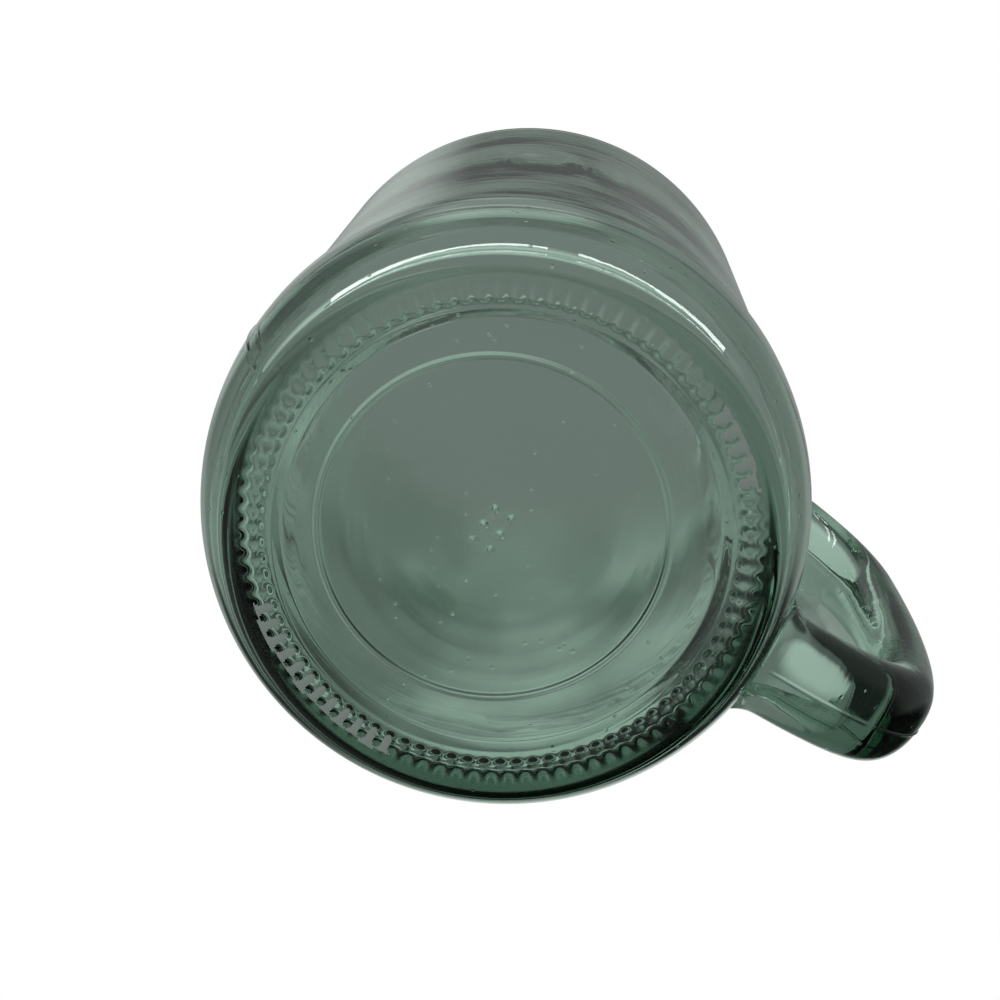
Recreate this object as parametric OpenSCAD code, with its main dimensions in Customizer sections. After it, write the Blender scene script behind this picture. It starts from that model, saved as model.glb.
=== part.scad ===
// Pressed glass stein with one loop handle.
// The axis of the bowl is Z, the rest plane is z = 0 and the handle points along +X.
// The glass is drawn region by region, and every region meets the next one face to face.

/* [Bowl] */
// Height from the rest plane to the top of the rim
height = 141; // [115:1:180]
// Largest diameter, at the belly
belly_d = 90; // [88:0.5:105]
// Diameter just above the shoulder
neck_d = 87; // [76:0.5:88]
// Diameter at the rim
rim_d = 86.4; // [76:0.2:90]
// Thickness of the side wall
wall_t = 3.8; // [2.5:0.1:5]
// Height of the band under the lip
rim_band_h = 5; // [3:0.5:9]

/* [Base] */
// Outer diameter of the bearing ring
bearing_d = 75.4; // [70:0.2:80]
// Height of the inner floor above the rest plane
floor_z = 9; // [6:0.5:14]
// Radius of the foot corner
foot_corner_r = 3; // [2:0.1:5]
// Height where the heel has grown to the belly
heel_top_z = 21; // [16:0.5:30]
// Height of the straight belly above the heel
belly_h = 3; // [1:0.5:10]
// Height over which the shoulder steps in
shoulder_h = 3.4; // [1:0.2:8]
// Width of the oval inner corner between floor and wall
inner_corner_w = 3.6; // [2:0.1:12]
// Height of the oval inner corner
inner_corner_h = 12; // [3:0.5:16]
// Width of the flat between the bars and the hollow
bar_gap = 1.1; // [0.2:0.1:3]
// Depth of the hollow above the bars
hollow_h = 0.7; // [0.2:0.1:2]
// Width of the sloping edge of the hollow
hollow_edge_w = 1.5; // [0.5:0.1:3]

/* [Stippling] */
// Number of radial bars
bar_n = 90; // [40:1:110]
// Width of one bar
bar_w = 1.25; // [0.6:0.05:1.6]
// Length of one bar
bar_l = 3.4; // [1.5:0.1:4]
// Height of the bars and of the bearing ring
bar_h = 0.8; // [0.4:0.05:1.5]
// Width of the smooth bearing ring outside the bars
land_w = 0.7; // [0.4:0.05:1.5]

/* [Mould marks] */
// Diameter of the raised circle under the base
mark_d = 49.8; // [20:0.2:56]
// Width of the raised circle
mark_w = 1.2; // [0.5:0.1:2]
// Height of the raised circle and of the dots
mark_h = 0.35; // [0.2:0.05:0.6]
// How far the circle sits from the axis, away from the handle
mark_shift = 1.4; // [0:0.1:2]
// Diameter of one raised dot
dot_d = 1.3; // [0.6:0.1:2]
// Distance between neighbouring dots
dot_pitch = 2.7; // [2.2:0.1:4]
// Width of the mould seam
seam_w = 0.6; // [0.3:0.05:1]
// Height of the mould seam
seam_h = 0.2; // [0.1:0.05:0.4]

/* [Handle] */
// Distance from the axis of the bowl to the outside of the grip
reach = 83; // [76:0.5:95]
// Width of the handle at the grip
grip_w = 18; // [14:0.5:24]
// Thickness of the handle at the grip
grip_t = 12; // [9:0.5:15]
// Width of the handle at the lower root
low_w = 17; // [14:0.5:24]
// Height of the lower root's centre above the rest plane
low_z = 27; // [20:0.5:40]
// Distance from the rim down to the upper root's centre
top_drop = 19; // [14:0.5:30]
// How much a root grows in width towards the bowl
root_flare_w = 4.5; // [1:0.5:8]
// How much a root grows in thickness towards the bowl
root_flare_t = 5; // [1:0.5:8]
// Distance from the belly to the narrow end of a root
root_l = 8; // [5:0.5:12]

/* [Hidden] */

$fn = 96;
cut_over = 1;
glass = [0.53, 0.65, 0.58];
thick_glass = [0.30, 0.44, 0.37];
mark_glass = [0.66, 0.76, 0.70];

belly_r = belly_d/2;
neck_r = neck_d/2;
rim_r = rim_d/2;
bearing_r = bearing_d/2;
land_in_r = bearing_r - land_w;
shoulder_z = heel_top_z + belly_h;
bar_in_r = land_in_r - bar_l;
hollow_r = bar_in_r - bar_gap - hollow_edge_w;
hollow_z = bar_h + hollow_h;
inner_r = min(belly_r, neck_r) - wall_t;
widest_r = max(belly_r, neck_r, rim_r);
cut_r = max(widest_r, bearing_r + foot_corner_r) + cut_over;

// Foot corner, heel, shoulder and neck: angles and counts of the points that draw them
foot_turn = 55;
arc_steps = 8;
heel_steps = 10;
shoulder_steps = 6;

foot_end = [bearing_r + foot_corner_r*sin(foot_turn), foot_corner_r*(1 - cos(foot_turn))];
heel_bend_z = min(foot_end[1] + abs(belly_r - foot_end[0])*tan(foot_turn), heel_top_z);

function quad(a, b, c, t) = (1 - t)*(1 - t)*a + 2*t*(1 - t)*b + t*t*c;
function smooth(t) = t*t*(3 - 2*t);

// Outside of the glass from the rest plane to the neck, as [radius, height]
foot_pts = [for (i = [0:arc_steps])
    let (a = foot_turn*i/arc_steps)
    [bearing_r + foot_corner_r*sin(a), foot_corner_r*(1 - cos(a))]];
heel_pts = [for (i = [1:heel_steps])
    quad(foot_end, [belly_r, heel_bend_z], [belly_r, heel_top_z], i/heel_steps)];
shoulder_pts = [for (i = [0:shoulder_steps])
    let (t = i/shoulder_steps)
    [belly_r - (belly_r - neck_r)*smooth(t), shoulder_z + shoulder_h*t]];
outer_pts = concat(foot_pts, heel_pts, shoulder_pts);

// Round lip, from the outside over the top to the inside
lip_r = wall_t/2;
lip_pts = [for (i = [0:2*arc_steps])
    let (a = 90*i/arc_steps)
    [rim_r - lip_r + lip_r*cos(a), height - lip_r + lip_r*sin(a)]];

// Inside of the bowl from the wall down to the flat floor
inner_pts = [for (i = [0:arc_steps])
    let (a = 90*i/arc_steps)
    [inner_r - inner_corner_w + inner_corner_w*cos(a), floor_z + inner_corner_h*(1 - sin(a))]];

// Underside from the axis out to the bearing ring
under_pts = [[0, hollow_z], [hollow_r, hollow_z], [hollow_r + hollow_edge_w, bar_h],
             [land_in_r, bar_h], [land_in_r, 0]];

// Half section of all the glass that turns about the axis
module section() {
    polygon(concat(outer_pts, lip_pts, inner_pts, [[0, floor_z]], under_pts));
}

// Outside of the glass from the rest plane to the lip
skin_pts = concat(outer_pts, [[rim_r, height - lip_r]]);

// The bowl and base as one filled body
module filled() {
    rotate_extrude()
        polygon(concat(skin_pts, [[0, height - lip_r], [0, 0]]));
}

// The turned glass between two heights
module band(z0, z1) {
    rotate_extrude()
        intersection() {
            section();
            translate([0, z0]) square([cut_r, z1 - z0]);
        }
}

module bowl() {
    color(glass) band(floor_z, height - rim_band_h);
}

module base() {
    color(thick_glass) band(bar_h, floor_z);
}

module bearing_ring() {
    color(mark_glass) band(0, bar_h);
}

module rim() {
    color(glass) band(height - rim_band_h, height);
}

// One radial bar, round at its inner end and closed by the bearing ring at its outer end
module bar_outline() {
    translate([bar_in_r + bar_w/2, -bar_w/2]) square([bar_l - bar_w/2 + land_w/2, bar_w]);
    translate([bar_in_r + bar_w/2, 0]) circle(d = bar_w, $fn = 24);
}

module stipple_bars() {
    color(mark_glass)
        linear_extrude(bar_h)
            intersection() {
                circle(r = land_in_r);
                for (i = [0:bar_n - 1])
                    rotate(360*i/bar_n) bar_outline();
            }
}

// Raised circle under the base
module mark_ring() {
    top_w = mark_w/2;
    color(mark_glass)
        translate([-mark_shift, 0, hollow_z])
            rotate_extrude()
                polygon([[mark_d/2 - mark_w/2, 0], [mark_d/2 - top_w/2, -mark_h],
                         [mark_d/2 + top_w/2, -mark_h], [mark_d/2 + mark_w/2, 0]]);
}

// Plain raised dots in the middle of the hollow, in two rows
dot_rows = 2;
dot_cols = 3;
module mould_dots() {
    color(mark_glass)
        for (i = [0:dot_cols - 1], j = [0:dot_rows - 1])
            translate([dot_pitch*(j - (dot_rows - 1)/2) - mark_shift, dot_pitch*(i - (dot_cols - 1)/2),
                       hollow_z - mark_h])
                cylinder(d = dot_d, h = mark_h, $fn = 24);
}

// Centre line of the handle. Each point is a share of the way from the widest body to the grip centre,
// and a share of the way from the lower root's height to the upper root's height.
grip_x = reach - grip_t/2;
top_z = height - top_drop;
low_arm_shares = [[-0.1, 0], [0.24, 0.02], [0.75, 0.04], [0.92, 0.19]];
grip_shares = [[0.92, 0.19], [1.02, 0.33], [1.02, 0.56], [0.96, 0.77]];
top_arm_shares = [[0.96, 0.77], [0.9, 0.95], [0.5, 1.02], [-0.1, 1]];
arm_steps = 14;

function at_share(s) = [widest_r + (grip_x - widest_r)*s[0], low_z + (top_z - low_z)*s[1]];
function cubic(q, t) = pow(1 - t, 3)*q[0] + 3*t*pow(1 - t, 2)*q[1] + 3*t*t*(1 - t)*q[2] + pow(t, 3)*q[3];
function cubic_pts(shares, first) =
    let (q = [for (s = shares) at_share(s)])
    [for (i = [first:arm_steps]) cubic(q, i/arm_steps)];

// The line starts and ends inside the wall, so that the roots always reach the bowl
root_in_x = inner_r - wall_t;
path = concat([[root_in_x, low_z]], cubic_pts(low_arm_shares, 0), cubic_pts(grip_shares, 1),
              cubic_pts(top_arm_shares, 1), [[root_in_x, top_z]]);
last = len(path) - 1;
function unit(v) = v/norm(v);
function along(i) = unit(path[min(i + 1, last)] - path[max(i - 1, 0)]);
function outward(i) = [along(i)[1], -along(i)[0]];

// First and last ring of the free part of the handle: the first ones clear of both roots
root_end_x = widest_r + root_l;
first_free = min([for (i = [0:last]) if (path[i][0] >= root_end_x) i]);
last_free = max([for (i = [0:last]) if (path[i][0] >= root_end_x) i]);

// How far a ring lies inside a root, from 0 at its narrow end to 1 at the belly and past it
function into_root(i) = min(1.5, max(0, (root_end_x - path[i][0])/root_l));
function flare(i) = pow(into_root(i), 2);
function ring_w(i) = low_w + (grip_w - low_w)*min(1, max(0, (i - first_free)/arm_steps)) + root_flare_w*flare(i);
function ring_t(i) = grip_t + root_flare_t*flare(i);

// Cross section: a rounded oval with a flat facet in the middle of its outside
side_n = 28;
oval_power = 2/2.3;
function bend(v) = sign(v)*pow(abs(v), oval_power);
function ring(i) = [for (k = [0:side_n - 1])
    let (a = 360*(k + 0.5)/side_n, n = bend(sin(a))*ring_t(i)/2)
    [path[i][0] + outward(i)[0]*n, bend(cos(a))*ring_w(i)/2, path[i][1] + outward(i)[1]*n]];

// Skin over a row of rings that have the same number of points
module skin(rings) {
    n = len(rings[0]);
    m = len(rings);
    points = [for (r = rings) each r];
    sides = [for (i = [0:m - 2], k = [0:n - 1], half = [0, 1])
        let (a = i*n + k, b = i*n + (k + 1) % n)
        half == 0 ? [a, b, b + n] : [a, b + n, a + n]];
    ends = [[for (k = [n - 1:-1:0]) k], [for (k = [0:n - 1]) (m - 1)*n + k]];
    polyhedron(points, concat(sides, ends));
}

module handle() {
    color(glass) skin([for (i = [first_free:last_free]) ring(i)]);
}

module handle_lower_root() {
    color(thick_glass)
        difference() {
            skin([for (i = [0:first_free]) ring(i)]);
            filled();
        }
}

module handle_upper_root() {
    color(thick_glass)
        difference() {
            skin([for (i = [last_free:last]) ring(i)]);
            filled();
        }
}

// Fine seam down the middle of the handle's outside, on the flat facet
facet_share = bend(cos(180/side_n));
module handle_seam() {
    color(mark_glass)
        skin([for (i = [first_free:last_free])
            let (low = facet_share*ring_t(i)/2, high = low + seam_h)
            [for (q = [[seam_w/2, low], [seam_w/4, high], [-seam_w/4, high], [-seam_w/2, low]])
                [path[i][0] + outward(i)[0]*q[1], q[0], path[i][1] + outward(i)[1]*q[1]]]]);
}

// Seams on the bowl: one opposite the handle, one inside the handle's loop and one below it
module seam_strip(x0, z0, z1) {
    back = [for (i = [len(skin_pts) - 1:-1:0]) skin_pts[i]];
    intersection() {
        rotate_extrude($fn = 288)
            polygon(concat([for (p = skin_pts) p + [seam_h, 0]], back));
        translate([x0, -seam_w/2, z0]) cube([cut_r, seam_w, z1 - z0]);
    }
}

root_half_t = (grip_t + root_flare_t)/2;
module body_seams() {
    band_z = height - rim_band_h;
    color(mark_glass) {
        seam_strip(-cut_r, foot_corner_r, band_z);
        seam_strip(0, low_z + 2*root_half_t, top_z - 2*root_half_t);
        seam_strip(0, foot_corner_r, low_z - root_half_t - seam_w);
    }
}

bowl();
base();
bearing_ring();
stipple_bars();
rim();
handle();
handle_lower_root();
handle_upper_root();
mark_ring();
mould_dots();
body_seams();
handle_seam();
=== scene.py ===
# %% [markdown]
# A pressed glass stein, seen from below. The real one is a single gob of green glass that a plunger pressed
# into an iron mould, so everything on it has soft edges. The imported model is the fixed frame. Its nodes are
# the formed regions of that glass, and each of them gets a finer twin here, in the same place.

# %% Load the frame
import bpy
import bmesh
import math
import random
from mathutils import Matrix, Vector, noise


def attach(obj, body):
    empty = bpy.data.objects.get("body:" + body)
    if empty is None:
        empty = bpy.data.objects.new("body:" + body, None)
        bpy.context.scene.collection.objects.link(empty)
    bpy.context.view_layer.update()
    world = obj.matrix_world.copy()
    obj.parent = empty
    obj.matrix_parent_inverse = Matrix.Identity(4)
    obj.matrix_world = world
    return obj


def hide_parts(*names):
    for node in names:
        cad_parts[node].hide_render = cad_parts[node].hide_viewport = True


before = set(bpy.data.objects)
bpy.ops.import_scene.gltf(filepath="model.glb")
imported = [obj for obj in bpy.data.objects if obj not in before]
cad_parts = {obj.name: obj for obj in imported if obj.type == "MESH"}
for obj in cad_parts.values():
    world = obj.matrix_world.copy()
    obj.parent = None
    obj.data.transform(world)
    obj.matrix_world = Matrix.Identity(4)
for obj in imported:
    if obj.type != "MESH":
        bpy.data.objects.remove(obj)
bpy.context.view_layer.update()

# %% [markdown]
# Blender works in metres, and a stein is measured in millimetres. The sizes below repeat those of the part's
# source, so that every surface falls where the frame has it. The outside of the glass is one line of points
# from the rest plane to the lip: an arc at the foot, a long curve for the heel, a short straight belly, a
# low shoulder and a nearly straight wall.

# %% Sizes and the line of the outside
MM = 0.001
HEIGHT, LIP_R = 141.0, 1.9
BELLY_R, NECK_R, RIM_R, INNER_R = 45.0, 43.5, 43.2, 39.7
BELLY_LOW, BELLY_HIGH, SHOULDER_H = 21.0, 24.0, 3.4
BEARING_R, FOOT_R, FOOT_END = 37.7, 3.0, -35


def arc(cx, cz, r, a0, a1, n):
    """Points on an arc from angle a0 to a1, in degrees from the outward direction."""
    turns = [math.radians(a0 + (a1 - a0) * i / n) for i in range(n + 1)]
    return [(cx + r * math.cos(a), cz + r * math.sin(a)) for a in turns]


def line(p, q, n):
    """Points from p to q in n steps, without p."""
    return [(p[0] + (q[0] - p[0]) * i / n, p[1] + (q[1] - p[1]) * i / n) for i in range(1, n + 1)]


foot = arc(BEARING_R, FOOT_R, FOOT_R, -90, FOOT_END, 28)
low, high = foot[-1], (BELLY_R, BELLY_LOW)
bend = (BELLY_R, low[1] + (BELLY_R - low[0]) * math.tan(math.radians(90 + FOOT_END)))
heel = []
for t in (step / 48 for step in range(1, 49)):
    heel.append(tuple((1 - t) ** 2 * a + 2 * t * (1 - t) * b + t * t * c for a, b, c in zip(low, bend, high)))
shoulder = []
for t in (step / 24 for step in range(1, 25)):
    shoulder.append((BELLY_R - (BELLY_R - NECK_R) * t * t * (3 - 2 * t), BELLY_HIGH + SHOULDER_H * t))
wall = line(shoulder[-1], (RIM_R, HEIGHT - LIP_R), 56)
outside = foot + heel + line(high, (BELLY_R, BELLY_HIGH), 4) + shoulder + wall
print(len(outside), "points on the outside, widest", max(p[0] for p in outside), "mm")

# %% [markdown]
# The plunger gives the inside its form: a flat floor, an oval corner and a wall that leans a little. Below,
# the base is hollow. Its line has finer steps where the raised ring and the dots will be. All pieces take
# their stretch of the same lines, so two neighbours always end at the same point.

# %% The line of the inside, the lip and the underside
FLOOR_Z, FLOOR_STEPS, CORNER_W, CORNER_H = 9.0, 72, 3.6, 12.0
HOLLOW_Z, HOLLOW_R, HOLLOW_EDGE = 1.5, 30.8, 0.9
DOTS_R, MARK_IN, MARK_OUT = 6.0, 22.6, 27.4
FOOT_TOP, BASE_TOP, BOWL_TOP = 1.0, 13.0, 136.0  # heights where one piece ends and the next begins
FLAT_R, SLOPE_END = INNER_R - CORNER_W, (32.07, FOOT_TOP)


def at_height(points, z):
    """The point of a rising line at one height."""
    for p, q in zip(points, points[1:]):
        if p[1] <= z <= q[1] and q[1] > p[1]:
            t = (z - p[1]) / (q[1] - p[1])
            return (p[0] + (q[0] - p[0]) * t, z)


inside = [(i * FLAT_R / FLOOR_STEPS, FLOOR_Z) for i in range(FLOOR_STEPS)]
inside += [(FLAT_R + CORNER_W * c, FLOOR_Z + CORNER_H * (1 + s)) for c, s in arc(0, 0, 1, -90, 0, 40)]
inside += line(inside[-1], (RIM_R - 2 * LIP_R, HEIGHT - LIP_R), 60)
lip = arc(RIM_R - LIP_R, HEIGHT - LIP_R, LIP_R, 0, 180, 32)
under = [(0.0, HOLLOW_Z)]
for r, steps in ((DOTS_R, 30), (MARK_IN, 16), (MARK_OUT, 36), (HOLLOW_R, 6)):
    under += line(under[-1], (r, HOLLOW_Z), steps)
under += arc(HOLLOW_R, HOLLOW_Z - HOLLOW_EDGE, HOLLOW_EDGE, 90, 65, 4)[1:]
under += line(under[-1], SLOPE_END, 4)
half_way = at_height(outside, HEIGHT / 2)[0] - at_height(inside, HEIGHT / 2)[0]
print("wall at half height:", round(half_way, 2), "mm, floor:", FLOOR_Z - HOLLOW_Z, "mm")

# %% [markdown]
# Glass can't simply be cut into pieces in a ray tracer: light would bend and mirror at every cut. Here the
# pieces meet on flat seats. The two faces of a seat lie two thousandths of a millimetre apart. They are
# marked as having no skin, which makes the surface clear there while the green volume goes on, so light goes
# straight through them.

# %% Turned pieces and their seats
SEAT_GAP, WEDGE = 0.001, 12
MERGE_WITHIN, ON_PLANE, ON_CUT = 2e-7, 1e-7, 1e-8  # in metres


def between(points, z0, z1):
    """The stretch of a rising line between two heights, cut exactly there."""
    return [at_height(points, z0)] + [p for p in points if z0 < p[1] < z1] + [at_height(points, z1)]


def turned(section, columns, closed=True):
    """A bmesh of a half section turned about the axis, in columns of faces. An open section starts and ends
    on the axis. A wedge of a few columns is spun, and then copied round, which is faster than one long spin."""
    bm = bmesh.new()
    verts = [bm.verts.new((r * MM, 0, z * MM)) for r, z in section]
    edges = [bm.edges.new(pair) for pair in zip(verts, verts[1:])]
    if closed:
        edges.append(bm.edges.new((verts[-1], verts[0])))
    angle = math.tau * WEDGE / columns
    bmesh.ops.spin(bm, geom=verts + edges, axis=(0, 0, 1), cent=(0, 0, 0), steps=WEDGE, angle=angle,
                   use_merge=False)
    copies = 1
    for factor in (2, 3, 3, 5):
        if (columns // WEDGE) % (copies * factor):
            continue
        whole = bm.verts[:] + bm.edges[:] + bm.faces[:]
        for k in range(1, factor):
            made = bmesh.ops.duplicate(bm, geom=whole)["geom"]
            moved = [g for g in made if isinstance(g, bmesh.types.BMVert)]
            bmesh.ops.rotate(bm, verts=moved, cent=(0, 0, 0), matrix=Matrix.Rotation(angle * copies * k, 3, "Z"))
        copies *= factor
    bmesh.ops.remove_doubles(bm, verts=bm.verts, dist=MERGE_WITHIN)
    bmesh.ops.recalc_face_normals(bm, faces=bm.faces)
    return bm


def mark_seats(bm, seats):
    """Writes skin = 0 on the faces of the seats and 1 on all others. A seat is an axis number and its mm."""
    skin = bm.faces.layers.float.new("skin")
    for face in bm.faces:
        face.smooth = True
        on_seat = any(all(abs(v.co[axis] - at * MM) < ON_PLANE for v in face.verts) for axis, at in seats)
        face[skin] = 0.0 if on_seat else 1.0
    for edge in bm.edges:
        if len({f[skin] for f in edge.link_faces}) > 1:
            edge.smooth = False


print("seats at", FOOT_TOP, BASE_TOP, "and", BOWL_TOP, "mm")

# %% [markdown]
# The glass is soda-lime glass made of old bottles. Iron in it gives the grey green, which is faint through
# one wall and nearly black along the heel. So the colour isn't on the surface: the surface is clear, and a
# volume takes out more of the light the longer its way through the glass.

# %% The green glass
GREEN, DENSITY, CLEAR, GLASS_IOR = "8EC2A8", 60.0, "F1F8F4", 1.52


def srgb(code):
    """A hex colour as linear numbers."""
    parts = [int(code[i:i + 2], 16) / 255 for i in (0, 2, 4)]
    return [c / 12.92 if c <= 0.04045 else ((c + 0.055) / 1.055) ** 2.4 for c in parts] + [1.0]


def add(tree, kind, links=(), **values):
    """Adds a node, sets its properties or sockets by name, and links (input, socket) pairs."""
    node = tree.nodes.new(kind)
    for key, value in values.items():
        if hasattr(node, key):
            setattr(node, key, value)
        else:
            node.inputs[key.replace("_", " ")].default_value = value
    for name, socket in links:
        tree.links.new(socket, node.inputs[name])
    return node


def new_material(name):
    """A material with an empty node tree but for its output."""
    mat = bpy.data.materials.new(name)
    mat.use_nodes = True
    mat.node_tree.nodes.clear()
    return mat, mat.node_tree, mat.node_tree.nodes.new("ShaderNodeOutputMaterial")


green_glass, tree, out = new_material("pressed_bottle_glass")
where = add(tree, "ShaderNodeTexCoord")
skin = add(tree, "ShaderNodeAttribute", attribute_name="skin")
surface = add(tree, "ShaderNodeBsdfPrincipled", links=[("Alpha", skin.outputs["Fac"])], Base_Color=srgb(CLEAR),
              IOR=GLASS_IOR, Transmission_Weight=1.0)
body = add(tree, "ShaderNodeVolumeAbsorption", Color=srgb(GREEN), Density=DENSITY)
tree.links.new(surface.outputs[0], out.inputs["Surface"])
tree.links.new(body.outputs[0], out.inputs["Volume"])
print("glass with an IOR of", GLASS_IOR, "and a density of", DENSITY)

# %% [markdown]
# Pressed glass is never flat. The plunger chills it in slow waves some 14 mm long, the mould's wall gives it
# an orange peel of about 3 mm, gas leaves seeds less than a millimetre wide, and tooling leaves faint rings.
# All of them are a tenth of a millimetre deep at most, so they are bumps, laid one on another.

# %% Waves, orange peel, seeds and turning marks
PER_METRE = 1 / MM
WAVE_MM, PEEL_MM, SEED_MM, TURNING_MM = 14, 3, 3.6, 2.4
SEED_CORE, SEED_EDGE = 0.03, 0.1  # radius of a seed, as a share of the distance between two
at = [("Vector", where.outputs["Object"])]
waves = add(tree, "ShaderNodeTexNoise", links=at, Scale=PER_METRE / WAVE_MM, Detail=2.0)
peel = add(tree, "ShaderNodeTexNoise", links=at, Scale=PER_METRE / PEEL_MM, Detail=1.0)
seeds = add(tree, "ShaderNodeTexVoronoi", links=at, Scale=PER_METRE / SEED_MM)
pits = add(tree, "ShaderNodeMapRange", links=[("Value", seeds.outputs["Distance"])],
           interpolation_type="SMOOTHSTEP", From_Min=SEED_CORE, From_Max=SEED_EDGE)
axes = add(tree, "ShaderNodeSeparateXYZ", links=[(0, where.outputs["Object"])])
flat = add(tree, "ShaderNodeVectorMath", operation="MULTIPLY", links=[(0, where.outputs["Object"])])
flat.inputs[1].default_value = (1, 1, 0)
radius = add(tree, "ShaderNodeVectorMath", operation="LENGTH", links=[(0, flat.outputs[0])])
profile = add(tree, "ShaderNodeCombineXYZ", links=[("X", radius.outputs["Value"]), ("Y", axes.outputs["Z"])])
turning = add(tree, "ShaderNodeTexNoise", links=[("Vector", profile.outputs[0])],
              Scale=PER_METRE / TURNING_MM, Detail=2.0)
below = []
for pattern, depth in ((waves, 0.10), (peel, 0.008), (pits, 0.07), (turning, 0.035)):
    bump = add(tree, "ShaderNodeBump", links=[("Height", pattern.outputs[0])] + below, Strength=1.0,
               Distance=depth * MM)
    below = [("Normal", bump.outputs[0])]
tree.links.new(bump.outputs[0], surface.inputs["Normal"])
print("patterns of", WAVE_MM, PEEL_MM, SEED_MM, "and", TURNING_MM, "mm")

# %% [markdown]
# The plane it stands on is dull from years on a table. The middle of the cup's floor is a little dull too,
# which softens the view of the mouth through the base. Both places follow from the height and the radius of a
# point, so they need no painted mask.

# %% Dull places
STAND_DULL, FLOOR_DULL = 0.2, 0.24
FADES = [  # what is measured, where the fade begins and ends in mm, and the value there
    (axes.outputs["Z"], 0.02, 0.12, STAND_DULL, 0.0),
    (axes.outputs["Z"], 8.0, 8.6, 0.0, FLOOR_DULL),
    (radius.outputs["Value"], 27.0, 30.8, 1.0, 0.0),
]
faded = []
for measure, begin, end, before, after in FADES:
    fade = add(tree, "ShaderNodeMapRange", links=[("Value", measure)], interpolation_type="SMOOTHSTEP",
               From_Min=begin * MM, From_Max=end * MM, To_Min=before, To_Max=after)
    faded.append(fade.outputs[0])
stand, above_floor, near_axis = faded
dull = add(tree, "ShaderNodeMath", operation="MULTIPLY", links=[(0, above_floor), (1, near_axis)])
rough = add(tree, "ShaderNodeMath", operation="MAXIMUM", links=[(0, stand), (1, dull.outputs[0])])
tree.links.new(rough.outputs[0], surface.inputs["Roughness"])
print("glass:", len(tree.nodes), "nodes, roughness up to", max(STAND_DULL, FLOOR_DULL))

# %% [markdown]
# Sliding over tables has scuffed some of the bars, most of all on two sides. Fine scratches scatter a part of
# the light, so the scuffed tops have a second finish of the same glass, a little milky, with the same green
# volume.

# %% The scuffed glass
scuffed_glass = green_glass.copy()
scuffed_glass.name = "scuffed_bottle_glass"
milky = next(n for n in scuffed_glass.node_tree.nodes if n.type == "BSDF_PRINCIPLED")
milky.inputs["Transmission Weight"].default_value = 0.7
milky.inputs["Base Color"].default_value = srgb("D2E6DC")
print("scuffed glass lets through", milky.inputs["Transmission Weight"].default_value)

# %% [markdown]
# Each piece is built as a bmesh, with its place in the mesh itself. It is then hung on the body it moves with
# and given its finishes, and the frame's nodes that it stands for are hidden.

# %% From a bmesh to a piece of the stein
def as_object(name, bm, *finishes):
    """An object made from a bmesh, with its finishes."""
    mesh = bpy.data.meshes.new(name)
    bm.to_mesh(mesh)
    bm.free()
    made = bpy.data.objects.new(name, mesh)
    bpy.context.scene.collection.objects.link(made)
    for finish in finishes:
        mesh.materials.append(finish)
    return made


def finished(name, bm, stands_for, *more_finishes):
    """Makes a piece of green glass on the part's one body, and counts the edges without two faces."""
    piece = as_object(name, bm, green_glass, *more_finishes)
    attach(piece, "root")
    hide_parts(*stands_for)
    uses = [0] * len(piece.data.edges)
    for loop in piece.data.loops:
        uses[loop.edge_index] += 1
    print(name, len(piece.data.polygons), "faces, open edges:", sum(1 for n in uses if n != 2))


print("finishes:", green_glass.name, "and", scuffed_glass.name)

# %% [markdown]
# The stein stands on a smooth ring. Inside it lie 90 short bars, which keep the hot glass off the cold plate
# that it is set down on. Each bar could be a body of its own, but the real ones melt into the ring and into
# one another. So the ring is spun with twelve columns of faces to a bar, and each point gets its own height.
# The bars are shallower on one side, as in the photograph.

# %% The foot: the bearing ring and its 90 bars
BARS, COLUMNS_A_BAR, BAR_H = 90, 12, 0.8
SLOPE_TOP = (32.5, BAR_H)
BAR_FLAT, BAR_EDGE, BAR_END, VALLEY_END = 0.1, 1.15, 34.2, 34.7
LAND_START, LAND_END = 34.9, 37.4
RELIEF_WEAK, RELIEF_FULL = 0.16, 0.36
WEAK_SIDE, WEAK_NEAR, WEAK_FAR = math.radians(-126), 0.6, 1.9  # in radians


def soft_step(a, b, x):
    """0 below a, 1 above b and a soft step between them."""
    t = min(1.0, max(0.0, (x - a) / (b - a)))
    return t * t * (3 - 2 * t)


section = [(SLOPE_END[0], FOOT_TOP - SEAT_GAP)] + line(SLOPE_END, SLOPE_TOP, 2)
section += line(SLOPE_TOP, (BEARING_R, BAR_H), 30)[:-1] + between(outside, 0.0, FOOT_TOP - SEAT_GAP)
bm = turned(section, BARS * COLUMNS_A_BAR)
for v in bm.verts:
    r, azimuth = math.hypot(v.co.x, v.co.y) / MM, math.atan2(v.co.y, v.co.x)
    if SLOPE_TOP[0] - 0.05 < r < BEARING_R - 0.05:
        turn = azimuth / math.tau * BARS
        across = abs(turn - round(turn)) / BARS * math.tau * r
        bar = 1 - soft_step(BAR_FLAT, BAR_EDGE, math.hypot(across, max(0.0, BAR_END - r)))
        land = soft_step(LAND_START, LAND_END, r)
        off = math.acos(math.cos(azimuth - WEAK_SIDE))
        relief = RELIEF_WEAK + (RELIEF_FULL - RELIEF_WEAK) * soft_step(WEAK_NEAR, WEAK_FAR, off)
        valley = BAR_H - (BAR_H - relief) * soft_step(SLOPE_TOP[0], VALLEY_END, r)
        v.co.z = valley * MM * (1 - bar) * (1 - land)
mark_seats(bm, [(2, FOOT_TOP - SEAT_GAP)])
print("bars:", BARS, "of", RELIEF_WEAK, "to", RELIEF_FULL, "mm")

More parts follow.
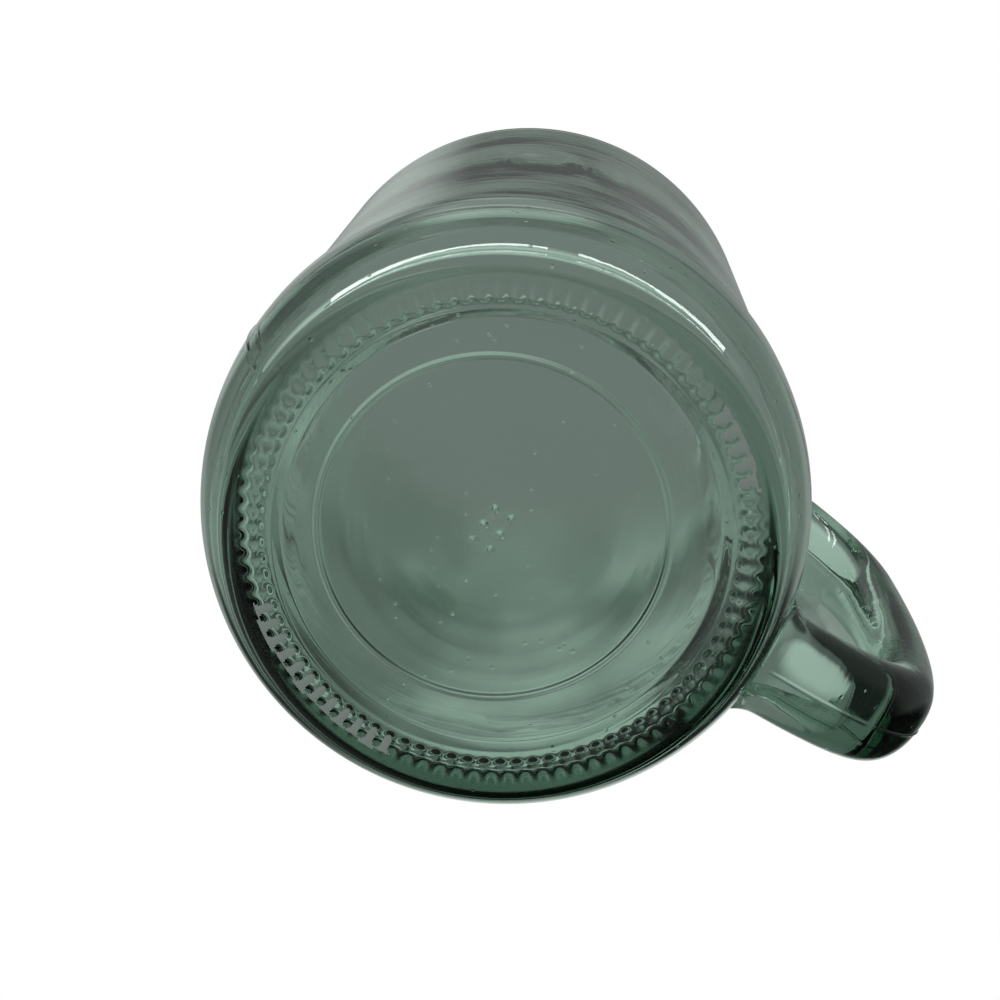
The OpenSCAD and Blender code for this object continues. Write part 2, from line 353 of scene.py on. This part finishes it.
# %% The scuffed bars, chosen by luck on two sides
SCUFFS = [  # azimuth of the side, share of its bars, and the degrees within which it is full and ends
    (106, 1.1, 12, 42),
    (-58, 0.9, 8, 26),
]
SCUFF_TOP, SCUFF_IN, SCUFF_OUT = 0.14, 33.7, 36.4
chance = random.Random(5)
luck = [chance.random() for bar in range(BARS)]
for face in bm.faces:
    middle = face.calc_center_median() / MM
    r, turn = math.hypot(middle.x, middle.y), math.degrees(math.atan2(middle.y, middle.x))
    share = sum(most * (1 - soft_step(full, end, abs(turn - side))) for side, most, full, end in SCUFFS)
    bar = round(turn / 360 * BARS)
    if middle.z < SCUFF_TOP and SCUFF_IN < r < SCUFF_OUT + 0.5 * luck[bar] and luck[bar] < share:
        face.material_index = 1
print("scuffed faces:", sum(f.material_index for f in bm.faces))
finished("stippled_foot", bm, ["stipple_bars", "bearing_ring"], scuffed_glass)

# %% [markdown]
# Two things show where the plunger and the mould met the glass. The plunger leaves the floor of the cup in
# slow waves, and the wall a little thicker at half height, so the view through the base is cloudy. The halves
# of the mould leave a thin seam on each side. It could be a strip laid on the glass, but then light would bend
# twice there. So the mesh is cut on both sides of the seam, and the line in its middle is lifted.

# %% Waves and seams
SEAM_W, SEAM_H, SEAM_START = 0.6, 0.2, 3.0
MID_WALL_R = 40.25  # between the inside and the outside, at every height that has a seam
WAVE_H, WAVE_LONG, WAVE_SHORT, RING_H, RING_GAP = 0.22, 13, 6, 0.012, 3.4
SWELL_H, SWELL_Z, SWELL_SPREAD, RIPPLE_H = 1.25, 88, 10, 0.25


def floor_wave(co):
    """How much the floor of the cup rises at a point, in mm: slow waves, and rings from the turned plunger."""
    r = math.hypot(co.x, co.y) / MM
    slow = noise.noise(Vector((co.x, co.y, 0.0)) / (WAVE_LONG * MM))
    slow += 0.4 * noise.noise(Vector((co.x, co.y, 0.1)) / (WAVE_SHORT * MM))
    return (WAVE_H * slow + RING_H * math.sin(r * math.tau / RING_GAP)) * (1 - soft_step(28, 35, r))


def wall_swell(turn, z):
    """How much thicker the wall is at a turn and a height, in mm: a broad swell, broken up round the bowl."""
    around = Vector((math.cos(turn), math.sin(turn), 0.0))
    share = 0.55 + 0.9 * noise.noise(around * 2.3 + Vector((4.0, 0.0, 0.0)))
    share += 0.5 * noise.noise(around * 7 + Vector((0, 9, 0)))
    middle = SWELL_Z + 9 * noise.noise(around * 1.7 + Vector((0.0, 0.0, 5.0)))
    swell = SWELL_H * soft_step(0.1, 0.9, share) * math.exp(-((z - middle) / SWELL_SPREAD) ** 2)
    ripple = RIPPLE_H * noise.noise(around * 2.9 + Vector((0.0, 0.0, z / 17)))
    return (swell + ripple) * soft_step(18, 34, z) * (1 - soft_step(112, 133, z))


def push_seam(bm, side, z0, z1):
    """Raises the mould seam on the outside between two heights, on the +X side for 1 and the -X side for -1."""
    for offset in (-SEAM_W / 2, SEAM_W / 2):
        near = []
        for face in bm.faces:
            middle = face.calc_center_median() / MM
            if side * middle.x > 20 and abs(middle.y) < 3:
                near.append(face)
        edges, verts = {e for f in near for e in f.edges}, {v for f in near for v in f.verts}
        bmesh.ops.bisect_plane(bm, geom=list(verts) + list(edges) + near, dist=ON_CUT,
                               plane_co=(0, offset * MM, 0), plane_no=(0, 1, 0))
    raised = 0
    for v in bm.verts:
        z = v.co.z / MM
        if abs(v.co.y) < ON_PLANE and side * v.co.x > MID_WALL_R * MM and z0 - 0.01 < z < z1 + 0.01:
            v.co.x += side * SEAM_H * MM * soft_step(z0 - 1.0, z0 + 1.5, z)
            raised += 1
    print("seam on the", "+X" if side > 0 else "-X", "side:", raised, "points raised")


print("seam", SEAM_W, "mm wide, swell of the wall up to", SWELL_H, "mm")

# %% [markdown]
# The base is thick, and hollow below, so that only the ring touches the table. A raised ring and six small
# dots lie under it. They could be joined on with a Boolean, which leaves long thin faces that show in clear
# glass. So the fine steps of the underside's line are used, and the points there are moved down.

# %% The thick base with its raised ring and dots
MARK_R, MARK_SHIFT, MARK_H, MARK_FLAT, MARK_FOOT = 24.9, 1.4, 0.35, 0.15, 0.6
DOT_GAP, DOT_FLAT, DOT_FOOT = 2.7, 0.3, 0.65
section = under[:-1] + [(SLOPE_END[0], FOOT_TOP + SEAT_GAP)]
section += between(outside, FOOT_TOP + SEAT_GAP, BASE_TOP - SEAT_GAP)
section += [at_height(inside, BASE_TOP - SEAT_GAP)]
section += [p for p in reversed(inside) if p[1] < BASE_TOP - SEAT_GAP]
bm = turned(section, 360, closed=False)
dots = [(DOT_GAP * (j - 0.5) - MARK_SHIFT, DOT_GAP * (i - 1)) for i in range(3) for j in range(2)]
for v in bm.verts:
    x, y, z = (c / MM for c in v.co)
    if z < HOLLOW_Z + 0.1 and math.hypot(x, y) < HOLLOW_R - 0.3:
        ring = 1 - soft_step(MARK_FLAT, MARK_FOOT, abs(math.hypot(x + MARK_SHIFT, y) - MARK_R))
        dot = max(1 - soft_step(DOT_FLAT, DOT_FOOT, math.hypot(x - a, y - b)) for a, b in dots)
        v.co.z -= MARK_H * MM * max(ring, dot)
    if z > FLOOR_Z - 0.1:
        v.co.z += floor_wave(v.co) * MM
push_seam(bm, 1, SEAM_START, BASE_TOP)
push_seam(bm, -1, SEAM_START, BASE_TOP)
mark_seats(bm, [(2, FOOT_TOP + SEAT_GAP), (2, BASE_TOP - SEAT_GAP)])
finished("thick_base", bm, ["base", "mark_ring", "mould_dots"])

# %% [markdown]
# The handle is a bar of glass with a rounded, nearly oval section, which leaves the bowl low down and comes
# back to it under the lip. A curve with a bevel would have the same section all along. The real one grows
# wider on its way, flares at both ends and has the mould's seam along its back. So a line is drawn through
# the middle first, and each ring of points round it is then worked out for its own place.

# %% The handle's line
GRIP_X, LOW_Z, TOP_Z = 77.0, 27.0, 122.0


def cubic(shares, n):
    """Points on a cubic curve given by four shares of the handle's reach and height."""
    q = [(BELLY_R + (GRIP_X - BELLY_R) * s[0], LOW_Z + (TOP_Z - LOW_Z) * s[1]) for s in shares]
    points = []
    for t in (i / n for i in range(n + 1)):
        weights = (1 - t) ** 3, 3 * t * (1 - t) ** 2, 3 * t * t * (1 - t), t ** 3
        points.append(tuple(sum(w * p[a] for w, p in zip(weights, q)) for a in (0, 1)))
    return points


def spot(place):
    """Centre and direction of the handle's line at a number along it, which needn't be whole."""
    i = min(int(place), len(path) - 2)
    (ax, az), (bx, bz), t = path[i], path[i + 1], place - i
    d = math.dist(path[i], path[i + 1])
    return (ax + (bx - ax) * t, az + (bz - az) * t), ((bx - ax) / d, (bz - az) / d)


def place_at(x, top):
    """Where the lower or upper arm passes that x, as a number along the line."""
    order = range(len(path) - 2, 0, -1) if top else range(len(path) - 1)
    for i in order:
        a, b = path[i][0], path[i + 1][0]
        if min(a, b) <= x <= max(a, b):
            return i + (x - a) / (b - a)


low_arm = cubic([(-0.1, 0), (0.24, 0.02), (0.75, 0.04), (0.92, 0.19)], 60)
grip = cubic([(0.92, 0.19), (1.02, 0.33), (1.02, 0.56), (0.96, 0.77)], 50)
top_arm = cubic([(0.96, 0.77), (0.9, 0.95), (0.5, 1.02), (-0.1, 1)], 80)
path = low_arm + grip[1:] + top_arm[1:]
print("handle line:", len(path), "points,", round(sum(map(math.dist, path, path[1:])), 1), "mm")

# %% The ring of points round the handle
GRIP_W, GRIP_T, POWER = 17.0, 12.0, 2 / 2.3
WIDER_FROM, WIDER_TO = 30, 90  # along the line, and there the handle grows 1 mm wider
ROOT_L, ROOT_FLARE_W, ROOT_FLARE_T, FILLET, SKIRT = 8.0, 2.25, 2.5, 1.6, 6.5
SEAM_STEPS = (0.62, 0.45, 0.3, 0.2, 0.1, 0, -0.1, -0.2, -0.3, -0.45, -0.62)


def corner_of(y):
    """The angle of the ring point that lies y mm off the middle of the handle's outer side."""
    return math.acos(math.copysign(abs(y / (GRIP_W / 2)) ** (1 / POWER), y))


def wall_x(y, z):
    """How far out the outside of the bowl lies at that y and z, in mm."""
    r = at_height(outside, z)[0]
    return math.sqrt(r * r - y * y)


def hollow_edge(distance, radius):
    """How much a hollow fillet of that radius adds at a distance from the wall."""
    away = radius - max(0.0, min(distance, radius))
    return radius - math.sqrt(radius ** 2 - away ** 2)


def row(place, distance=None, skirt=FILLET):
    """The ring of points round the handle at a place. In a root, distance is how far it is from the bowl."""
    (x, z), (tx, tz) = spot(place)
    half_w = (GRIP_W + min(1.0, max(0.0, (place - WIDER_FROM) / (WIDER_TO - WIDER_FROM)))) / 2
    half_t, share = GRIP_T / 2, 0.0
    if distance is not None:
        share = 1 - max(0.0, distance) / ROOT_L
        half_w += ROOT_FLARE_W * share ** 2 + hollow_edge(distance, skirt)
        half_t += ROOT_FLARE_T * share ** 2 * (0.4 if skirt > FILLET else 1.0) + hollow_edge(distance, FILLET)
    ring = []
    for a in ANGLES:
        across, out = [math.copysign(abs(f) ** POWER, f) for f in (math.cos(a), math.sin(a))]
        proud = SEAM_H * (1 - soft_step(0.05, 0.35, abs(across * GRIP_W / 2))) * (out > 0) * (1 - share)
        px, py, pz = x + tz * (out * half_t + proud), across * half_w, z - tx * (out * half_t + proud)
        if distance is not None:
            px += share * (wall_x(py, pz) + distance - px)
        ring.append(Vector((px, py, pz)) * MM)
    return ring


seam_points = [corner_of(y) for y in SEAM_STEPS]
even = [math.tau * (k + 0.5) / 88 for k in range(88)]
ANGLES = sorted([a for a in even if not seam_points[0] - 0.02 < a < seam_points[-1] + 0.02] + seam_points)
print("points round the handle:", len(ANGLES))

# %% The rings of the two roots and of the free part
DISTANCES = [-2.2, -0.3, 0, 0.02, 0.06, 0.12, 0.2, 0.3, 0.45, 0.6, 0.8, 1.0, 1.25, 1.5, 1.75, 2, 2.25, 2.5,
             2.75, 3, 3.25, 3.5, 4, 4.5, 5, 5.5, 6, 6.5, 7, 7.25, 7.5, 7.75]
FREE_STEPS = 240
low_rows = [row(place_at(BELLY_R + d, False), d, SKIRT) for d in DISTANCES]
top_rows = [row(place_at(BELLY_R + d, True), d) for d in DISTANCES]
first, last = place_at(BELLY_R + ROOT_L, False), place_at(BELLY_R + ROOT_L, True)
free_rows = [row(first + (last - first) * i / FREE_STEPS) for i in range(FREE_STEPS + 1)]
print("rings:", len(low_rows), "in each root,", len(free_rows), "in the free part")

# %% [markdown]
# The rings become a skin by extruding each one into the next. The handle and its two roots are the same loft,
# cut with flat planes at a fixed distance from the axis, so they fit each other exactly.

# %% The handle and its roots as lofts
ROOT_IN, ROOT_OUT = 48.0, BELLY_R + ROOT_L


def lofted(rows):
    """A closed bmesh through rings of points: each ring is extruded from the last one and moved into place."""
    bm = bmesh.new()
    ring = bmesh.ops.create_circle(bm, cap_ends=False, segments=len(ANGLES), radius=0.01)["verts"]
    edges = list(bm.edges)
    for v, co in zip(ring, rows[0]):
        v.co = co
    for points in rows[1:]:
        made = bmesh.ops.extrude_edge_only(bm, edges=edges)["geom"]
        old, new = set(ring), {}
        for v in made:
            if isinstance(v, bmesh.types.BMVert):
                new[next(e.other_vert(v) for e in v.link_edges if e.other_vert(v) in old)] = v
        ring = [new[v] for v in ring]
        for v, co in zip(ring, points):
            v.co = co
        now = set(ring)
        edges = [e for e in made if isinstance(e, bmesh.types.BMEdge) and set(e.verts) <= now]
    caps = bmesh.ops.holes_fill(bm, edges=[e for e in bm.edges if e.is_boundary], sides=0)["faces"]
    bmesh.ops.poke(bm, faces=caps)
    bmesh.ops.recalc_face_normals(bm, faces=bm.faces)
    return bm


def cut(bm, x, keep_outer):
    """Cuts a bmesh at an x in mm, keeps one side and closes it with a flat face."""
    bmesh.ops.bisect_plane(bm, geom=bm.verts[:] + bm.edges[:] + bm.faces[:], dist=ON_CUT,
                           plane_co=(x * MM, 0, 0), plane_no=(1, 0, 0), clear_inner=keep_outer,
                           clear_outer=not keep_outer)
    bmesh.ops.holes_fill(bm, edges=[e for e in bm.edges if e.is_boundary], sides=0)
    bmesh.ops.recalc_face_normals(bm, faces=bm.faces)


bm = lofted(low_rows + free_rows + top_rows[::-1])
cut(bm, ROOT_OUT + SEAT_GAP, True)
mark_seats(bm, [(0, ROOT_OUT + SEAT_GAP)])
finished("loop_handle", bm, ["handle", "handle_seam"])

for name, node, rows in (("lower_root", "handle_lower_root", low_rows + free_rows[:12]),
                         ("upper_root", "handle_upper_root", top_rows + free_rows[:-13:-1])):
    bm = lofted(rows)
    cut(bm, ROOT_IN + SEAT_GAP, True)
    cut(bm, ROOT_OUT - SEAT_GAP, False)
    mark_seats(bm, [(0, ROOT_IN + SEAT_GAP), (0, ROOT_OUT - SEAT_GAP)])
    finished(name, bm, [node])

# %% [markdown]
# The bowl is the long wall between the base and the lip. The real handle grows out of it with a hollow
# fillet. Two solids that only touch would show a dark line there, so an exact Boolean joins the wall with the
# start of each arm, and the result is cut flat where the roots take over.

# %% The bowl, grown together with the two stubs of the handle
UNDER_HANDLE, LOOP_LOW, LOOP_HIGH = 17.9, 44.0, 105.0  # heights where the seam beside the handle ends and begins
section = between(outside, BASE_TOP + SEAT_GAP, BOWL_TOP - SEAT_GAP)
section += reversed(between(inside, BASE_TOP + SEAT_GAP, BOWL_TOP - SEAT_GAP))
bm = turned(section, 360)
for v in bm.verts:
    r = math.hypot(v.co.x, v.co.y) / MM
    if r < MID_WALL_R:
        k = 1 - wall_swell(math.atan2(v.co.y, v.co.x), v.co.z / MM) / r
        v.co.x, v.co.y = v.co.x * k, v.co.y * k
push_seam(bm, -1, SEAM_START, BOWL_TOP)
push_seam(bm, 1, SEAM_START, UNDER_HANDLE)
push_seam(bm, 1, LOOP_LOW, LOOP_HIGH)
shell = as_object("shell", bm)
for name, rows in (("low_stub", low_rows), ("top_stub", top_rows)):
    join = shell.modifiers.new(name, "BOOLEAN")
    join.operation, join.solver, join.object = "UNION", "EXACT", as_object(name, lofted(rows))
grown = shell.evaluated_get(bpy.context.evaluated_depsgraph_get())
bm = bmesh.new()
bm.from_mesh(grown.to_mesh())
grown.to_mesh_clear()
for name in ("shell", "low_stub", "top_stub"):
    bpy.data.objects.remove(bpy.data.objects[name])
cut(bm, ROOT_IN - SEAT_GAP, False)
mark_seats(bm, [(2, BASE_TOP + SEAT_GAP), (2, BOWL_TOP - SEAT_GAP), (0, ROOT_IN - SEAT_GAP)])
finished("straight_bowl", bm, ["bowl", "body_seams"])

# %% [markdown]
# A flame melts the sharp edge of the mouth until it is round. A bevel on the wall would do, but the lip is a
# half circle in the section here, so it is turned with the rest and its highlight stays smooth.

# %% The lip
section = between(outside, BOWL_TOP + SEAT_GAP, HEIGHT - LIP_R)[:-1] + lip
section += list(reversed(between(inside, BOWL_TOP + SEAT_GAP, HEIGHT - LIP_R)))[1:]
bm = turned(section, 360)
mark_seats(bm, [(2, BOWL_TOP + SEAT_GAP)])
finished("round_lip", bm, ["rim"])

# %% [markdown]
# The photograph looks up at the base, so the camera stands below the rest plane. The floor is solid only to a
# camera above it. From below it is clear, and so it is to the rays that the glass sends on. They always go to
# the studio round the stein, so the glass has the same green from all sides.

# %% The floor
FLOOR_HALF = 3.0  # in metres
floor_finish, tree, out = new_material("pale_floor")
face = add(tree, "ShaderNodeNewGeometry")
clear = add(tree, "ShaderNodeBsdfTransparent")
paint = add(tree, "ShaderNodeBsdfDiffuse", Color=srgb("E6E6E4"))
rays = add(tree, "ShaderNodeLightPath")
bounced = add(tree, "ShaderNodeMath", operation="LESS_THAN", links=[(0, rays.outputs["Is Camera Ray"])])
open_to = add(tree, "ShaderNodeMath", operation="MAXIMUM",
              links=[(0, face.outputs["Backfacing"]), (1, bounced.outputs[0])])
both = add(tree, "ShaderNodeMixShader",
           links=[(0, open_to.outputs[0]), (1, paint.outputs[0]), (2, clear.outputs[0])])
tree.links.new(both.outputs[0], out.inputs["Surface"])
bm = bmesh.new()
bmesh.ops.create_grid(bm, x_segments=1, y_segments=1, size=FLOOR_HALF)
as_object("floor", bm, floor_finish)
print("floor:", 2 * FLOOR_HALF, "m wide")

# %% [markdown]
# The world lights the scene softly from all sides. The camera sees it white, also by way of the glass, and
# the other rays get a little less, which keeps pale surfaces from burning out.

# %% The world
WORLD_SEEN, WORLD_LIGHT = 1.0, 0.8
world = bpy.data.worlds.new("studio")
bpy.context.scene.world = world
world.use_nodes = True
tree = world.node_tree
tree.nodes.clear()
out = add(tree, "ShaderNodeOutputWorld")
rays = add(tree, "ShaderNodeLightPath")
seen = rays.outputs["Is Camera Ray"]
for kind in ("Is Glossy Ray", "Is Transmission Ray"):
    either = add(tree, "ShaderNodeMath", operation="ADD", use_clamp=True,
                 links=[(0, seen), (1, rays.outputs[kind])])
    seen = either.outputs[0]
white = add(tree, "ShaderNodeBackground", Color=srgb("FFFFFF"), Strength=WORLD_SEEN)
soft = add(tree, "ShaderNodeBackground", Color=srgb("FFFFFF"), Strength=WORLD_LIGHT)
mix = add(tree, "ShaderNodeMixShader", links=[(0, seen), (1, soft.outputs[0]), (2, white.outputs[0])])
tree.links.new(mix.outputs[0], out.inputs["Surface"])
print("world:", WORLD_SEEN, "to the eye and", WORLD_LIGHT, "to other rays")

# %% [markdown]
# Clear glass has no look of its own: it shows what stands round it. In an all-white room it would vanish, so
# glass is photographed inside a grey tent with a few lighter and darker cards. This tent is only met by rays
# that the glass bends or mirrors. The eye and the floor never see it, so the background stays white.

# %% The grey tent and its cards
TENT_GREY, TENT_LEAST, TENT_CLOTH, TENT_R = 0.25, 0.02, "F4FFFA", 2.5
CARDS = [  # name, azimuth and elevation of its middle, half width, soft edge (all in degrees), light added
    ("small lamp", 51, 56, 8, 9, 0.43),
    ("pale card on the left", 110, 62, 8, 8, 0.12),
    ("dark card behind it", 150, 62, 9, 9, -0.06),
    ("upper light on the left", 150, 73, 7, 6, 0.3),
    ("upper light", -129, 66, 7, 8, 0.33),
    ("gap between the lights", -136, 79, 6, 6, -0.08),
    ("dark corner", 18, 28, 14, 12, -0.22),
    ("dark wall", 40, 8, 30, 16, -0.1),
    ("dark doorway", 98, 34, 10, 10, -0.22),
    ("dark frame of the window", -178, 48, 9, 9, -0.13),
    ("shade above the window", -118, 50, 8, 9, -0.13),
    ("glow round the window", -104, 14, 34, 18, 0.05),
    ("high pale card", 0, 66, 9, 9, 0.1),
    ("second lamp, low", 120, 0, 22, 14, 0.3),
    ("dark wall on the left", 165, 5, 22, 15, -0.15),
    ("dark ground", 20, -35, 40, 22, -0.17),
    ("pale ground", -170, -32, 45, 25, 0.12),
]


def toward(azimuth, elevation):
    """The direction at an azimuth from +X towards +Y, and an elevation above the floor."""
    a, e = math.radians(azimuth), math.radians(elevation)
    return (math.cos(a) * math.cos(e), math.sin(a) * math.cos(e), math.sin(e))


def stand_round_the_glass(name, bm, finish):
    """Stages an object that only bent and mirrored rays meet."""
    made = as_object(name, bm, finish)
    made.visible_camera = made.visible_diffuse = made.visible_shadow = made.visible_volume_scatter = False
    return made


tent_finish, tree, out = new_material("tent_cloth")
place = add(tree, "ShaderNodeTexCoord")
ray = add(tree, "ShaderNodeVectorMath", operation="NORMALIZE", links=[(0, place.outputs["Object"])])
level = add(tree, "ShaderNodeValue")
level.outputs[0].default_value = TENT_GREY
for name, azimuth, elevation, half, edge, light in CARDS:
    near = add(tree, "ShaderNodeVectorMath", operation="DOT_PRODUCT", links=[(0, ray.outputs[0])], label=name)
    near.inputs[1].default_value = toward(azimuth, elevation)
    card = add(tree, "ShaderNodeMapRange", links=[("Value", near.outputs["Value"])],
               interpolation_type="SMOOTHSTEP", From_Min=math.cos(math.radians(half + edge)),
               From_Max=math.cos(math.radians(half)), To_Max=light)
    level = add(tree, "ShaderNodeMath", operation="ADD", links=[(0, level.outputs[0]), (1, card.outputs[0])])
level = add(tree, "ShaderNodeMath", operation="MAXIMUM", links=[(0, level.outputs[0])])
level.inputs[1].default_value = TENT_LEAST
glow = add(tree, "ShaderNodeEmission", links=[("Strength", level.outputs[0])], Color=srgb(TENT_CLOTH))
tree.links.new(glow.outputs[0], out.inputs["Surface"])
bm = bmesh.new()
bmesh.ops.create_icosphere(bm, subdivisions=4, radius=TENT_R)
stand_round_the_glass("studio_tent", bm, tent_finish)
print("tent:", len(CARDS), "cards")

# %% [markdown]
# The bright lines along the heel are the mirror image of a window with four panes. A strong lamp would give
# them too, but it would also burn out the floor. These panes are met by mirrored rays alone, so they give the
# highlights and no other light.

# %% The window
PANE_DISTANCE, PANE_LIGHT = 2.0, 11.0
PANE_AZIMUTHS, PANE_ELEVATIONS = ((-171, -115), (-107, -64)), ((7, 10.5), (17, 20.0))  # from and to, in degrees
PANES = [(*across, *upward) for across in PANE_AZIMUTHS for upward in PANE_ELEVATIONS]

for number, (az0, az1, el0, el1) in enumerate(PANES):
    pane_finish, tree, out = new_material("bright_window_" + str(number))
    glow = add(tree, "ShaderNodeEmission", Strength=PANE_LIGHT, Color=srgb(TENT_CLOTH))
    tree.links.new(glow.outputs[0], out.inputs["Surface"])
    bm = bmesh.new()
    bmesh.ops.create_grid(bm, x_segments=24, y_segments=2, size=1.0)
    for v in bm.verts:
        az, el = az0 + (az1 - az0) * (v.co.x + 1) / 2, el0 + (el1 - el0) * (v.co.y + 1) / 2
        v.co = Vector(toward(az, el)) * PANE_DISTANCE
    pane = stand_round_the_glass("window_pane_" + str(number), bm, pane_finish)
    pane.visible_transmission = False
print("window:", len(PANES), "panes of light", PANE_LIGHT)

# %% [markdown]
# One large lamp gives the stein its soft shadow on the floor. It is hidden from the glass, which already
# mirrors the window.

# %% The soft lamp
LAMP_SIZE, LAMP_POWER, LAMP_DISTANCE = 0.8, 18.0, 1.6
lamp = bpy.data.objects.new("softbox", bpy.data.lights.new("softbox", "AREA"))
bpy.context.scene.collection.objects.link(lamp)
lamp.data.size, lamp.data.energy = LAMP_SIZE, LAMP_POWER
lamp.location = Vector(toward(-118, 50)) * LAMP_DISTANCE
lamp.rotation_euler = (-lamp.location).to_track_quat("-Z", "Y").to_euler()
lamp.visible_glossy = lamp.visible_transmission = False
print("lamp:", LAMP_POWER, "W at", [round(v, 2) for v in lamp.location], "m")

# %% [markdown]
# The photograph was taken from about 30 cm below the base, a little to one side. The ring of bars, the belly
# and the lip gave the camera's place, its directions and its focal length in pixels of the square picture.

# %% Camera
SENSOR, FOCAL_PIXELS, PICTURE_PIXELS = 36.0, 2133, 1000
camera = bpy.data.objects.new("camera", bpy.data.cameras.new("camera"))
bpy.context.scene.collection.objects.link(camera)
right = Vector((0.82728847, -0.56025419, 0.04134044))
up = Vector((-0.54958764, -0.79189664, 0.26618254))
turn = Matrix((right, up, right.cross(up))).transposed().to_4x4()
camera.matrix_world = Matrix.Translation(Vector((-37.674, -76.562, -285.380)) * MM) @ turn
camera.data.sensor_width, camera.data.lens = SENSOR, FOCAL_PIXELS / PICTURE_PIXELS * SENSOR
camera.data.clip_start, camera.data.clip_end = 0.01, 20
bpy.context.scene.camera = camera
bpy.context.scene.view_settings.view_transform = "Standard"
print("camera: focal length", round(camera.data.lens, 1), "mm")
